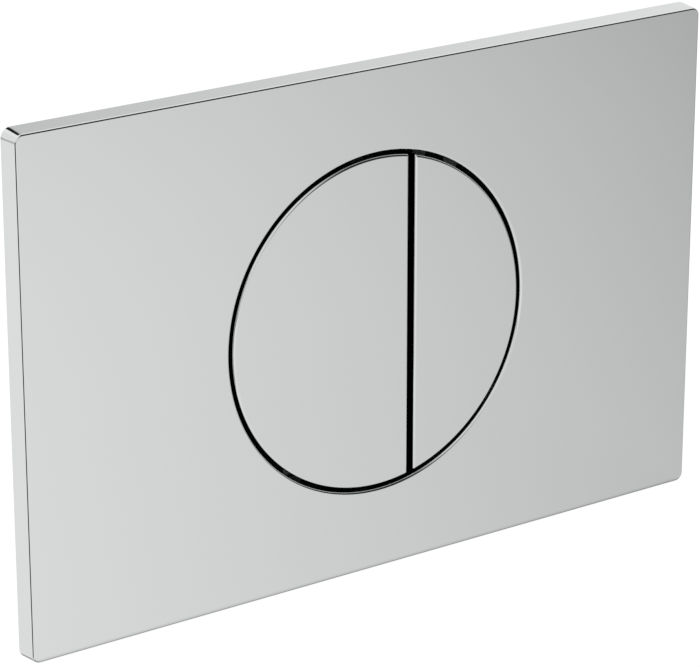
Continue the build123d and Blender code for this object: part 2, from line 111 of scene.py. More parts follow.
class PlateSizes(bpy.types.PropertyGroup):
    """Sizes of the fine pieces that follow the solids."""

    stud_radius: size_property("Stud radius", "Radius of the studs' rear thread", 0.003)
    stud_pitch: size_property("Stud pitch", "Pitch of the studs' rear thread", 0.001)
    stud_thread: size_property("Stud thread depth", "Depth of the studs' rear thread", 0.0005)
    stud_length: size_property("Stud length", "Length of the studs' rear thread", 0.026)
    stud_collar: size_property("Stud collar", "Thickness of the studs' collar", 0.0025)
    stud_chamfer: size_property("Stud chamfer", "Chamfer at the studs' ends", 0.0006)
    nut_radius: size_property("Nut radius", "Radius of the studs' front thread", 0.0025)
    nut_pitch: size_property("Nut pitch", "Pitch of the studs' front thread", 0.0008)
    nut_thread: size_property("Nut thread depth", "Depth of the studs' front thread", 0.0004)
    screw_head_radius: size_property("Screw head radius", "Radius of the carrier screws' heads", 0.0028)
    screw_head: size_property("Screw head", "Height of the carrier screws' heads", 0.0018)
    screw_radius: size_property("Screw radius", "Radius of the carrier screws' thread", 0.0015)
    screw_pitch: size_property("Screw pitch", "Pitch of the carrier screws", 0.0012)
    screw_thread: size_property("Screw thread depth", "Depth of the carrier screws' thread", 0.0004)
    recess_width: size_property("Recess width", "Width of each arm of the cross recess", 0.0008)
    recess_length: size_property("Recess length", "Length of each arm of the cross recess", 0.0034)
    recess_depth: size_property("Recess depth", "Depth of the cross recess", 0.0011)
    rod_radius: size_property("Rod radius", "Radius of the push rods", 0.003)
    rod_pitch: size_property("Rod pitch", "Pitch of the push rods' setting thread", 0.0015)
    rod_thread: size_property("Rod thread depth", "Depth of the push rods' setting thread", 0.0005)
    rod_thread_length: size_property("Rod thread length", "Length of the setting thread", 0.0066)
    rod_tip_radius: size_property("Rod tip radius", "Radius of the push rods' tips", 0.0025)
    rod_tip_length: size_property("Rod tip length", "Length of the push rods' tips", 0.026)
    rod_chamfer: size_property("Rod chamfer", "Chamfer at the push rods' tips", 0.0008)
    wire_radius: size_property("Wire radius", "Radius of the springs' wire", 0.00035)
    coil_radius: size_property("Coil radius", "Radius of the springs' coil", 0.00245)
    coil_pitch: size_property("Coil pitch", "Pitch of the springs' coil", 0.001)
    full_coil_start: size_property("Full coil start", "Where the full-flush coil starts on the pin", -0.009)
    half_coil_start: size_property("Half coil start", "Where the half-flush coil starts on the pin", 0.025)
    floor_leg: size_property("Floor leg", "Length of the spring leg that rests on the carrier", 0.007665)
    seat_leg: size_property("Seat leg", "Length of the spring leg that lifts the rocker", 0.021)
    coil_turns: FloatProperty(name="Coil turns", description="Turns of each spring", default=2.75, min=0.5)
    coil_steps: IntProperty(
        name="Coil steps", description="Points in each turn of a spring", default=24, min=8
    )
    edge_round: size_property("Edge round", "Radius that the mouldings' edges look rounded by", 0.00025)
    opening_radius: size_property("Opening radius", "Radius of the round opening in the plate", 0.051)
    button_radius: size_property("Button radius", "Radius of the round that both buttons make", 0.0498)
    rim_edge: size_property("Rim edge", "Radius of the rolled edges of the opening and the buttons", 0.0008)
    rim_level: IntProperty(
        name="Rim level", description="How often the facets of the rolled edges are split", default=2, min=0
    )
    split_centre: size_property("Split centre", "How far right the gap between the buttons is", 0.0114)
    split_reach: size_property("Split reach", "Half of that gap with the edge beside it", 0.0021)


class PlateColours(bpy.types.PropertyGroup):
    """Colours of the finishes."""

    chrome: colour_property("Chrome", "Mirror of the plated pieces", (0.664, 0.680, 0.675))
    rocker: colour_property("Rocker", "Plastic of the rockers", (0.055, 0.055, 0.06))
    carrier: colour_property("Carrier", "Plastic of the carrier", (0.012, 0.012, 0.013))
    frame: colour_property("Frame", "Plastic of the mounting frame", (0.55, 0.56, 0.57))
    rod: colour_property("Rod", "Plastic of the push rods", (0.76, 0.76, 0.73))
    guide: colour_property("Guide", "Plastic of the rod guides", (0.11, 0.125, 0.15))
    zinc: colour_property("Zinc", "Plating of the fixings", (0.58, 0.59, 0.61))
    steel: colour_property("Steel", "Bright drawn steel", (0.56, 0.56, 0.55))
    rubber: colour_property("Rubber", "Stop buffers", (0.02, 0.02, 0.02))


class PlateStudio(bpy.types.PropertyGroup):
    """Camera, floor, backdrop and flags; a brightness is the one that the chrome shows."""

    camera_place: place_property("Camera place", "Where the camera stands", (-0.523186, -0.739884, 0.325027))
    camera_aim: place_property("Camera aim", "What the camera looks at", (-0.014132, -0.012228, 0.001549))
    camera_lens: FloatProperty(
        name="Camera lens", description="Focal length in millimetres", default=172.25, min=1.0, unit="CAMERA"
    )
    white: level_property("White", "Brightness of the floor and backdrop to the camera", 1.05)
    fill_level: level_property("Fill level", "Brightness of the backdrop to matt surfaces", 0.55)
    floor_span: size_property("Floor span", "Side of the floor", 8.0)
    floor_glow: level_property("Floor glow", "Share of the floor's brightness that is its own", 0.92)
    floor_paint: colour_property("Floor paint", "Colour of the rest of the floor", (0.9, 0.9, 0.9))
    # Painted light falloff on the floor, seen only in the chrome: brighter at the left, darker to the right
    floor_level: level_property("Floor level", "Brightness of the floor below the origin", 0.906)
    floor_slope: slope_property("Floor slope", "Change of that for each metre", (-1.353, -0.786, 0.0))
    floor_bow: slope_property("Floor bow", "Direction and root of the curve in that", (0.88, 1.049, 0.0))
    floor_limits: range_property("Floor limits", "Darkest and brightest floor near the plate", (0.3, 1.07))
    far_level: level_property("Far level", "Brightness of the floor far from the plate", 0.6)
    far_range: range_property("Far range", "Distances between which the far level sets in", (0.65, 1.3))
    # Painted shade on the floor at the plate's foot and to its right, seen only in the chrome
    foot_reach: size_property("Foot reach", "How far the plate's shade reaches in front of its foot", 0.0036)
    foot_shade: level_property("Foot shade", "How much darker the floor is there", 0.6)
    side_shade: level_property("Side shade", "How much darker the floor is to the plate's right", 0.35)
    side_front: range_property("Side front", "Angles in front between which that shade sets in", (0.6, 0.3))
    side_back: range_property("Side back", "Angles behind between which that shade sets in", (-0.95, -0.6))
    sky_level: level_property("Sky level", "Brightness of the backdrop behind the plate", 0.82)
    sky_slope: slope_property("Sky slope", "Change of that with direction", (1.15, -0.8, 0.0))
    sky_limits: range_property("Sky limits", "Darkest and brightest backdrop at the right", (0.5, 1.08))
    left_level: level_property("Left level", "Brightness of the backdrop at the left", 1.05)
    left_range: range_property("Left range", "Directions in X between which that sets in", (0.1, -0.1))
    ceiling_gain: level_property("Ceiling gain", "How much brighter than that the ceiling is", 0.1)
    ceiling_range: range_property("Ceiling range", "Directions in Z between which it sets in", (0.48, 0.64))
    behind_range: range_property("Behind range", "Directions in Y from the room to the sky", (-0.35, -0.05))
    front_level: level_property("Front level", "Brightness of the room at the front left", 0.95)
    room_level: level_property("Room level", "Brightness of the room at the front right", 0.03)
    room_range: range_property("Room range", "Directions in X from the one to the other", (-0.15, 0.35))
    sky_flag: slope_property("Sky flag", "Direction of the flag high behind the plate", (0.12, 0.78, 0.61))
    sky_flag_cone: range_property("Sky flag cone", "Degrees off that between which it ends", (8.0, 12.0))
    sky_flag_level: level_property("Sky flag level", "Brightness that it leaves of the backdrop", 0.03)
    edge_flag_near: place_property("Edge flag near", "Its front from the left foot", (-0.026, -0.0614, 0.0))
    edge_flag_far: place_property("Edge flag far", "Its rear from the left foot", (-0.060, 0.0046, 0.0))
    edge_flag_toe: place_property("Edge flag toe", "Front of its lying part's tip", (-0.0004, -0.001, 0.0))
    edge_flag_heel: place_property("Edge flag heel", "Rear of its lying part's tip", (-0.001, 0.0, 0.0))
    edge_flag_front: range_property("Edge flag front", "Angles between which its front sets in", (1.17, 0.85))
    edge_flag_back: range_property("Edge flag back", "Angles between which its rear sets in", (-0.08, 0.2))
    edge_flag_lift: size_property("Edge flag lift", "How far it is above the floor", 0.0005)
    edge_flag_over: size_property("Edge flag over", "How far it stands above the plate", 0.01)
    edge_flag_fade: size_property("Edge flag fade", "Length that its top fades out over", 0.025)
    edge_flag_paint: colour_property("Edge flag paint", "Black of the edge flag", (0.01, 0.01, 0.01))


FLOAT = "NodeSocketFloat"
VECTOR = "NodeSocketVector"
GEOMETRY = "NodeSocketGeometry"
# Numbers of the sockets of a Mix node for each kind of value: both inputs and the output
MIX_SOCKETS = {"FLOAT": (2, 3, 0), "VECTOR": (4, 5, 1), "RGBA": (6, 7, 2)}
# Numbers of the sockets of a Random Value node for numbers: both limits and the output
RANDOM_SOCKETS = (2, 3, 1)
# Turn of a piece that is made along Z and points into the wall
TO_WALL = (-math.pi / 2, 0.0, 0.0)
# Length that counts as none
FINE = 0.00001


def add(tree, kind, inputs=None, **settings):
    """A node with its settings, and with values or links for its inputs."""
    node = tree.nodes.new(kind)
    for key, value in settings.items():
        setattr(node, key, value)
    for key, value in (inputs or {}).items():
        if isinstance(value, bpy.types.NodeSocket):
            tree.links.new(value, node.inputs[key])
        else:
            node.inputs[key].default_value = value
    return node


def maths(tree, operation, first, second=0.0):
    """One sum of two sockets or numbers."""
    return add(tree, "ShaderNodeMath", {0: first, 1: second}, operation=operation).outputs[0]


def ramp(tree, value, start, stop, low=0.0, high=1.0):
    """A value eased from low to high between two limits."""
    limits = {"Value": value, "From Min": start, "From Max": stop, "To Min": low, "To Max": high}
    return add(tree, "ShaderNodeMapRange", limits, interpolation_type="SMOOTHSTEP").outputs["Result"]


def between(tree, value, low, high):
    """A value kept between two limits."""
    return add(tree, "ShaderNodeClamp", {"Value": value, "Min": low, "Max": high}).outputs["Result"]


def mixed(tree, kind, factor, first, second):
    """The first value where the factor is 0 and the second where it is 1."""
    near, far, result = MIX_SOCKETS[kind]
    return add(tree, "ShaderNodeMix", {0: factor, near: first, far: second}, data_type=kind).outputs[result]


def vector(tree, x=0.0, y=0.0, z=0.0):
    """A vector from sockets or numbers."""
    return add(tree, "ShaderNodeCombineXYZ", {"X": x, "Y": y, "Z": z}).outputs["Vector"]


def axes_of(tree, place):
    """The parts of a vector, by the names of their axes."""
    return add(tree, "ShaderNodeSeparateXYZ", {"Vector": place}).outputs


def combined(tree, operation, first, second):
    """One sum of two vectors."""
    return add(tree, "ShaderNodeVectorMath", {0: first, 1: second}, operation=operation).outputs["Vector"]


def scaled(tree, arrow, factor):
    """A vector times a number."""
    return add(tree, "ShaderNodeVectorMath", {0: arrow, "Scale": factor}, operation="SCALE").outputs["Vector"]


def unit(tree, arrow):
    """A vector made one long."""
    return add(tree, "ShaderNodeVectorMath", {0: arrow}, operation="NORMALIZE").outputs["Vector"]


def length(tree, arrow):
    """How long a vector is."""
    return add(tree, "ShaderNodeVectorMath", {0: arrow}, operation="LENGTH").outputs["Value"]


def along(tree, place, direction):
    """How far a place lies in a direction."""
    inputs = {0: place, 1: direction}
    return add(tree, "ShaderNodeVectorMath", inputs, operation="DOT_PRODUCT").outputs["Value"]


class Surface(NamedTuple):
    """A kind of finish: grains to the metre and detail of its clouds, gloss and bumps, and their depth."""

    metallic: float
    clouds: tuple
    gloss: tuple
    bumps: tuple
    depth: float


CHROME = Surface(1.0, clouds=(14.0, 2.0), gloss=(60.0, 4.0), bumps=(38.0, 1.0), depth=0.0001)
PLASTIC = Surface(0.0, clouds=(35.0, 3.0), gloss=(180.0, 4.0), bumps=(2600.0, 2.0), depth=0.00004)
STEEL = Surface(1.0, clouds=(420.0, 3.0), gloss=(900.0, 3.0), bumps=(3200.0, 2.0), depth=0.00003)
RUBBER = Surface(0.0, clouds=(600.0, 2.0), gloss=(900.0, 2.0), bumps=(3000.0, 2.0), depth=0.00005)
# Part of the noise that the gloss follows
GLOSS_GRAIN = (0.3, 0.7)
EDGE_SAMPLES = 6


def grain(tree, place, scale, detail):
    """Noise of this many grains to the metre."""
    return add(tree, "ShaderNodeTexNoise", {"Vector": place, "Scale": scale, "Detail": detail}).outputs["Fac"]


def tinted(tree, factor, colour, shade):
    """A colour that wanders towards a shade of itself."""
    shaded = [channel * shade for channel in colour]
    return mixed(tree, "RGBA", factor, (*colour, 1.0), (*shaded, 1.0))


def start_finish(name, surface, colour, shade, roughness):
    """A material whose colour and gloss wander: its tree, its shader and the place that its grain follows."""
    material = bpy.data.materials.new(name)
    material.use_nodes = True
    tree = material.node_tree
    tree.nodes.clear()
    place = add(tree, "ShaderNodeTexCoord").outputs["Object"]
    clouds = tinted(tree, grain(tree, place, *surface.clouds), colour, shade)
    gloss = ramp(tree, grain(tree, place, *surface.gloss), *GLOSS_GRAIN, *roughness)
    looks = {"Metallic": surface.metallic, "Base Color": clouds, "Roughness": gloss}
    shader = add(tree, "ShaderNodeBsdfPrincipled", looks)
    add(tree, "ShaderNodeOutputMaterial", {"Surface": shader.outputs["BSDF"]})
    return tree, shader, place


def roughen(tree, shader, place, surface, strength, under):
    """Lays a finish's bumps over a normal."""
    layer = {"Height": grain(tree, place, *surface.bumps), "Strength": strength, "Distance": surface.depth}
    bump = add(tree, "ShaderNodeBump", {**layer, "Normal": under})
    tree.links.new(bump.outputs["Normal"], shader.inputs["Normal"])


def soft_edge(tree, context):
    """The surface's own normal, with edges that look rounded."""
    edge = {"Radius": context.scene.plate_sizes.edge_round}
    return add(tree, "ShaderNodeBevel", edge, samples=EDGE_SAMPLES).outputs["Normal"]


def rolled_rims(sizes):
    """Sizes of the rolled rim that each chrome is on: away from the opening's axis (1) or towards it (-1)."""
    lip = {"Radius": sizes.opening_radius + sizes.rim_edge, "Outward": -1.0, "Gap": 0.0}
    rim = {"Radius": sizes.button_radius - sizes.rim_edge, "Outward": 1.0, "Gap": sizes.split_reach}
    both = {"Edge": sizes.rim_edge, "Face": cad_box[0].y, "Split centre": sizes.split_centre}
    return {"plate_chrome": {**lip, **both}, "button_chrome": {**rim, **both}}


class RimPlace(NamedTuple):
    """Where a place lies on a rolled rim.

    It has the direction from the roll's centre, that centre, how far the roll has gone, how deep the place is
    and whether it is clear of the gap between the buttons.
    """

    direction: bpy.types.NodeSocket
    centre: bpy.types.NodeSocket
    roll: bpy.types.NodeSocket
    depth: bpy.types.NodeSocket
    clear: bpy.types.NodeSocket


def rim_place(tree, place, rim):
    """Finds where a place lies on a rolled rim."""
    axes = axes_of(tree, place)
    spoke = vector(tree, axes["X"], 0.0, axes["Z"])
    ray = unit(tree, spoke)
    level = maths(tree, "ADD", rim["Face"], rim["Edge"])
    depth = maths(tree, "SUBTRACT", axes["Y"], level)
    beyond = maths(tree, "SUBTRACT", length(tree, spoke), rim["Radius"])
    roll = maths(tree, "MULTIPLY", beyond, rim["Outward"])
    lean = maths(tree, "MULTIPLY", maths(tree, "MAXIMUM", roll, 0.0), rim["Outward"])
    away = combined(tree, "ADD", scaled(tree, ray, lean), vector(tree, y=depth))
    centre = combined(tree, "ADD", scaled(tree, ray, rim["Radius"]), vector(tree, y=level))
    aside = maths(tree, "ABSOLUTE", maths(tree, "SUBTRACT", axes["X"], rim["Split centre"]))
    clear = maths(tree, "GREATER_THAN", aside, rim["Gap"])
    return RimPlace(unit(tree, away), centre, roll, depth, clear)


def rim_normal(tree, place, rim):
    """The surface's own normal, but the exact one on a rolled rim and on the flat face beside it."""
    found = rim_place(tree, place, rim)
    rolling = maths(tree, "MULTIPLY", maths(tree, "GREATER_THAN", found.roll, 0.0), found.clear)
    flat = maths(tree, "LESS_THAN", found.depth, FINE - rim["Edge"])
    in_front = maths(tree, "LESS_THAN", found.depth, 0.0)
    exact = maths(tree, "MULTIPLY", maths(tree, "MAXIMUM", rolling, flat), in_front)
    spaces = {"vector_type": "NORMAL", "convert_from": "OBJECT", "convert_to": "WORLD"}
    turned = add(tree, "ShaderNodeVectorTransform", {"Vector": found.direction}, **spaces).outputs["Vector"]
    plain = add(tree, "ShaderNodeNewGeometry").outputs["Normal"]
    return mixed(tree, "VECTOR", exact, plain, turned)


def chrome_plating(context, name, rim):
    """Mirror chrome with the faint waviness of a plated moulding, over a rolled rim."""
    colour = context.scene.plate_colours.chrome
    tree, shader, place = start_finish(name, CHROME, colour, shade=0.985, roughness=(0.02, 0.04))
    roughen(tree, shader, place, CHROME, strength=0.02, under=rim_normal(tree, place, rim))


def moulded_plastic(context, name, colour, roughness, strength):
    """Moulded plastic: spark-eroded grain, faint flow marks and softened edges."""
    tree, shader, place = start_finish(name, PLASTIC, colour, shade=0.9, roughness=roughness)
    roughen(tree, shader, place, PLASTIC, strength, under=soft_edge(tree, context))


def plated_steel(context, name, colour, roughness, shade):
    """Steel with a cloudy skin and softened edges."""
    tree, shader, place = start_finish(name, STEEL, colour, shade, roughness)
    roughen(tree, shader, place, STEEL, strength=0.15, under=soft_edge(tree, context))


def matt_rubber(context, name, colour):
    """Rubber with a dusty grain."""
    tree, shader, place = start_finish(name, RUBBER, colour, shade=1.6, roughness=(0.7, 0.9))
    roughen(tree, shader, place, RUBBER, strength=0.3, under=soft_edge(tree, context))


def make_finishes(context):
    """All the finishes of the plate's pieces."""
    colours = context.scene.plate_colours
    for name, rim in rolled_rims(context.scene.plate_sizes).items():
        chrome_plating(context, name, rim)
    moulded_plastic(context, "rocker_moulding", colours.rocker, roughness=(0.35, 0.5), strength=0.3)
    moulded_plastic(context, "carrier_moulding", colours.carrier, roughness=(0.45, 0.62), strength=0.5)
    moulded_plastic(context, "frame_moulding", colours.frame, roughness=(0.38, 0.55), strength=0.4)
    moulded_plastic(context, "rod_moulding", colours.rod, roughness=(0.3, 0.42), strength=0.2)
    moulded_plastic(context, "guide_moulding", colours.guide, roughness=(0.32, 0.46), strength=0.25)
    plated_steel(context, "zinc_plating", colours.zinc, roughness=(0.24, 0.4), shade=0.86)
    plated_steel(context, "drawn_steel", colours.steel, roughness=(0.14, 0.26), shade=0.92)
    matt_rubber(context, "buffer_rubber", colours.rubber)


def finish(context, name):
    """One finish; all of them are made when the first is asked for."""
    if name not in bpy.data.materials:
        make_finishes(context)
    return bpy.data.materials[name]


def finish_nodes(context, name, *nodes):
    """Gives CAD nodes their finish."""
    for node in nodes:
        for slot in frame["nodes"][node].material_slots:
            slot.material = finish(context, name)


# Sides of the round pieces, and the angle past which their edges look sharp
BAR_SIDES = 48
THREAD_SIDES = 32
SCREW_SIDES = 24
RIDGE_SIDES = 4
WIRE_SIDES = 12
SHARP_EDGE = math.radians(40.0)


def new_tree(name, sockets):
    """A Geometry Nodes tree with named inputs, and the sockets that they come in by."""
    tree = bpy.data.node_groups.new(name, "GeometryNodeTree")
    tree.interface.new_socket("Geometry", in_out="OUTPUT", socket_type=GEOMETRY)
    for label, kind in sockets.items():
        tree.interface.new_socket(label, in_out="INPUT", socket_type=kind)
    entry = tree.nodes.new("NodeGroupInput")
    return tree, {label: entry.outputs[label] for label in sockets}


def end_tree(tree, geometry, material):
    """Realizes the instances, sets the material and sends the result out."""
    real = add(tree, "GeometryNodeRealizeInstances", {"Geometry": geometry}).outputs["Geometry"]
    painted = add(tree, "GeometryNodeSetMaterial", {"Geometry": real, "Material": material})
    add(tree, "NodeGroupOutput", {"Geometry": painted.outputs["Geometry"]})


def moved(tree, geometry, place=(0.0, 0.0, 0.0), turn=(0.0, 0.0, 0.0)):
    """Geometry at another place."""
    inputs = {"Geometry": geometry, "Translation": place, "Rotation": turn}
    return add(tree, "GeometryNodeTransform", inputs).outputs["Geometry"]


def joined(tree, *parts):
    """Several geometries in one."""
    node = tree.nodes.new("GeometryNodeJoinGeometry")
    for part in parts:
        tree.links.new(part, node.inputs["Geometry"])
    return node.outputs["Geometry"]


def bar(tree, radius, run, start, sides=BAR_SIDES):
    """A round bar along Z."""
    body = add(tree, "GeometryNodeMeshCylinder", {"Vertices": sides, "Radius": radius, "Depth": run})
    middle = maths(tree, "ADD", start, maths(tree, "DIVIDE", run, 2.0))
    return moved(tree, body.outputs["Mesh"], vector(tree, z=middle))


def taper(tree, low_radius, high_radius, run, start, sides=BAR_SIDES):
    """A tapered length along Z."""
    radii = {"Radius Bottom": low_radius, "Radius Top": high_radius}
    body = add(tree, "GeometryNodeMeshCone", {"Vertices": sides, "Depth": run, **radii})
    return moved(tree, body.outputs["Mesh"], vector(tree, z=start))


def threaded_bar(tree, crest, depth, pitch, run, start, sides=THREAD_SIDES):
    """A bar along Z with a thread: a core, and a ridge that follows a helix."""
    root = maths(tree, "SUBTRACT", crest, depth)
    rise = maths(tree, "SUBTRACT", run, maths(tree, "MULTIPLY", depth, 2.0))
    turns = {"Resolution": sides, "Rotations": maths(tree, "DIVIDE", rise, pitch)}
    coil = {"Start Radius": root, "End Radius": root, "Height": rise}
    helix = add(tree, "GeometryNodeCurveSpiral", {**turns, **coil})
    upright = add(tree, "GeometryNodeSetCurveNormal", {"Curve": helix.outputs["Curve"]}, mode="Z_UP")
    ridge = add(tree, "GeometryNodeCurvePrimitiveCircle", {"Resolution": RIDGE_SIDES, "Radius": depth})
    profile = {"Profile Curve": ridge.outputs["Curve"], "Fill Caps": True}
    swept = add(tree, "GeometryNodeCurveToMesh", {"Curve": upright.outputs["Curve"], **profile})
    lead = vector(tree, z=maths(tree, "ADD", start, depth))
    return joined(tree, bar(tree, root, run, start, sides), moved(tree, swept.outputs["Mesh"], lead))


def set_inputs(modifier, values):
    """Sets the named inputs of a modifier's tree."""
    for item in modifier.node_group.interface.items_tree:
        if item.in_out == "INPUT" and item.name in values:
            modifier[item.identifier] = values[item.name]


def plain_mesh(context, name, tree, values, source=None):
    """Runs a tree once and keeps what it makes as a plain mesh at the origin."""
    holder = bpy.data.objects.new(name, source or bpy.data.meshes.new(name))
    context.scene.collection.objects.link(holder)
    modifier = holder.modifiers.new(name, "NODES")
    modifier.node_group = tree
    set_inputs(modifier, values)
    context.view_layer.update()
    depsgraph = context.evaluated_depsgraph_get()
    mesh = bpy.data.meshes.new_from_object(holder.evaluated_get(depsgraph), depsgraph=depsgraph)
    bpy.data.objects.remove(holder)
    if not mesh.polygons:
        raise RuntimeError(f"{name}: its tree made nothing")
    mesh.shade_smooth()
    mesh.set_sharp_from_angle(angle=SHARP_EDGE)
    piece = bpy.data.objects.new(name, mesh)
    context.scene.collection.objects.link(piece)
    return piece


def middle_of(node):
    """Middle of a CAD node's box."""
    low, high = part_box(node)
    return (low + high) / 2


class FLUSHPLATE_OT_front(bpy.types.Operator):
    """Plates the front plate and both button caps with chrome"""

    bl_idname = "flushplate.front"
    bl_label = "Front plate and buttons"

    def execute(self, context):
        sizes = context.scene.plate_sizes
        rims = rolled_rims(sizes)
        tree = fine_rim(rims["plate_chrome"])
        for chrome, nodes in (
            ("plate_chrome", ("front_plate",)),
            ("button_chrome", ("full_flush_button", "half_flush_button")),
        ):
            finish_nodes(context, chrome, *nodes)
            values = {**rims[chrome], "Level": sizes.rim_level, "Finish": finish(context, chrome)}
            for node in nodes:
                modifier = frame["nodes"][node].modifiers.new("fine_rim", "NODES")
                modifier.node_group = tree
                set_inputs(modifier, values)
        return {"FINISHED"}


def fine_rim(labels):
    """A tree that splits the facets of a rolled rim and lays their points on its true round."""
    others = {"Mesh": GEOMETRY, "Level": "NodeSocketInt", "Finish": "NodeSocketMaterial"}
    tree, given = new_tree("fine_rim", {**others, **dict.fromkeys(labels, FLOAT)})
    found = rim_place(tree, add(tree, "GeometryNodeInputPosition").outputs["Position"], given)
    started = maths(tree, "MULTIPLY", maths(tree, "GREATER_THAN", found.roll, -FINE), found.clear)
    in_front = maths(tree, "MULTIPLY", maths(tree, "LESS_THAN", found.depth, FINE), started)
    corners = add(tree, "GeometryNodeFieldOnDomain", {"Value": in_front}, data_type="BOOLEAN", domain="POINT")
    chosen = {"Geometry": given["Mesh"], "Selection": corners.outputs["Value"]}
    parts = add(tree, "GeometryNodeSeparateGeometry", chosen, domain="FACE").outputs
    split = add(tree, "GeometryNodeSubdivideMesh", {"Mesh": parts["Selection"], "Level": given["Level"]})
    target = combined(tree, "ADD", found.centre, scaled(tree, found.direction, given["Edge"]))
    rolled = {"Selection": maths(tree, "GREATER_THAN", found.roll, 0.0), "Position": target}
    rounded = add(tree, "GeometryNodeSetPosition", {"Geometry": split.outputs["Mesh"], **rolled})
    end_tree(tree, joined(tree, parts["Inverted"], rounded.outputs["Geometry"]), given["Finish"])
    return tree


class FLUSHPLATE_OT_rockers(bpy.types.Operator):
    """Finishes the rockers, their buffers and the hinge pin"""

    bl_idname = "flushplate.rockers"
    bl_label = "Rockers and hinge"

    def execute(self, context):
        finish_nodes(context, "rocker_moulding", "full_flush_rocker", "half_flush_rocker")
        finish_nodes(context, "buffer_rubber", "full_flush_buffers", "half_flush_buffer")
        finish_nodes(context, "drawn_steel", "hinge_pin")
        return {"FINISHED"}


class FLUSHPLATE_OT_springs(bpy.types.Operator):
    """Winds the torsion springs from round wire"""

    bl_idname = "flushplate.springs"
    bl_label = "Springs"

    def execute(self, context):
        sizes = context.scene.plate_sizes
        tree, given = new_tree("torsion_spring", {"Path": GEOMETRY, "Wire radius": FLOAT})
        section = {"Resolution": WIRE_SIDES, "Radius": given["Wire radius"]}
        wire = add(tree, "GeometryNodeCurvePrimitiveCircle", section)
        profile = {"Profile Curve": wire.outputs["Curve"], "Fill Caps": True}
        sweep = add(tree, "GeometryNodeCurveToMesh", {"Curve": given["Path"], **profile})
        end_tree(tree, sweep.outputs["Mesh"], finish(context, "drawn_steel"))
        values = {"Wire radius": sizes.wire_radius}
        axis = middle_of("hinge_pin")
        for button, start in (("full_flush", sizes.full_coil_start), ("half_flush", sizes.half_coil_start)):
            first = Vector((start, axis.y, axis.z))
            path = spring_path(sizes, f"{button}_spring_path", first)
            piece = plain_mesh(context, f"{button}_spring_wire", tree, values, path)
            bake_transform(piece)
            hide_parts(f"{button}_spring")
        return {"FINISHED"}


def spring_path(sizes, name, first):
    """Line of a spring: a leg to the carrier's floor, a coil round the hinge pin and a leg to the rocker."""
    tangent = Vector((sizes.coil_pitch / math.tau, sizes.coil_radius)).normalized()
    steps = round(sizes.coil_turns * sizes.coil_steps)
    points = []
    for step in range(steps + 1):
        turn = math.tau * sizes.coil_turns * step / steps
        shift = -sizes.coil_pitch * turn / math.tau
        around = Vector((shift, -sizes.coil_radius * math.sin(turn), -sizes.coil_radius * math.cos(turn)))
        points.append(first + around)
    points.insert(0, points[0] + Vector((tangent.x, tangent.y, 0.0)) * sizes.floor_leg)
    points.append(points[-1] - Vector((tangent.x, 0.0, tangent.y)) * sizes.seat_leg)
    curve = bpy.data.curves.new(name, "CURVE")
    curve.dimensions = "3D"
    spline = curve.splines.new("POLY")
    spline.points.add(len(points) - 1)
    for target, point in zip(spline.points, points):
        target.co = (*point, 1.0)
    return curve


class FLUSHPLATE_OT_carrier(bpy.types.Operator):
    """Finishes the button carrier"""

    bl_idname = "flushplate.carrier"
    bl_label = "Button carrier"

    def execute(self, context):
        finish_nodes(context, "carrier_moulding", "button_carrier")
        return {"FINISHED"}


SCREW_SEED = 7
# Shape of a screw's head: rows of its dome, how steeply it narrows and how much area its top loses
HEAD_ROWS = 10
DOME_POWER = 4.0
DOME_LOSS = 0.55
# Length of a screw's point as a share of the shank's radius, and width of its end as a share of the root's
POINT_LENGTH = 0.6
POINT_WIDTH = 0.4


class FLUSHPLATE_OT_screws(bpy.types.Operator):
    """Makes the four carrier screws with domed heads, cross recesses and threads"""

    bl_idname = "flushplate.screws"
    bl_label = "Carrier screws"

    def execute(self, context):
        sizes = context.scene.plate_sizes
        low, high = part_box("carrier_screws")
        values = {
            "Head radius": sizes.screw_head_radius,
            "Head": sizes.screw_head,
            "Recess width": sizes.recess_width,
            "Recess length": sizes.recess_length,
            "Recess depth": sizes.recess_depth,
            "Shank radius": sizes.screw_radius,
            "Thread depth": sizes.screw_thread,
            "Pitch": sizes.screw_pitch,
            "Shank": high.y - low.y - sizes.screw_head,
            "Spread X": high.x - low.x - 2 * sizes.screw_head_radius,
            "Spread Z": high.z - low.z - 2 * sizes.screw_head_radius,
        }
        seat = {"Seat": (0.0, high.y - sizes.screw_head, 0.0)}
        tree, given = new_tree("carrier_screws", {**dict.fromkeys(values, FLOAT), "Seat": VECTOR})
        screw = joined(tree, screw_head(tree, given), screw_shank(tree, given))
        spread = {"Size X": given["Spread X"], "Size Y": given["Spread Z"]}
        grid = add(tree, "GeometryNodeMeshGrid", {"Vertices X": 2, "Vertices Y": 2, **spread})
        seats = moved(tree, grid.outputs["Mesh"], given["Seat"], (math.pi / 2, 0.0, 0.0))
        copies = {"Points": seats, "Instance": screw, "Rotation": screw_turn(tree)}
        placed = add(tree, "GeometryNodeInstanceOnPoints", copies)
        end_tree(tree, placed.outputs["Instances"], finish(context, "zinc_plating"))
        piece = plain_mesh(context, "carrier_screw_set", tree, {**values, **seat})
        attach(piece, "plate")
        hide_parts("carrier_screws")
        return {"FINISHED"}


def screw_turn(tree):
    """A screw's turn: into the wall, and by chance up to a quarter turn about its own axis."""
    low, high, result = RANDOM_SOCKETS
    limits = {low: 0.0, high: math.pi / 2, "Seed": SCREW_SEED}
    chance = add(tree, "FunctionNodeRandomValue", limits, data_type="FLOAT").outputs[result]
    angles = vector(tree, TO_WALL[0], chance)
    return add(tree, "FunctionNodeEulerToRotation", {"Euler": angles}).outputs["Rotation"]


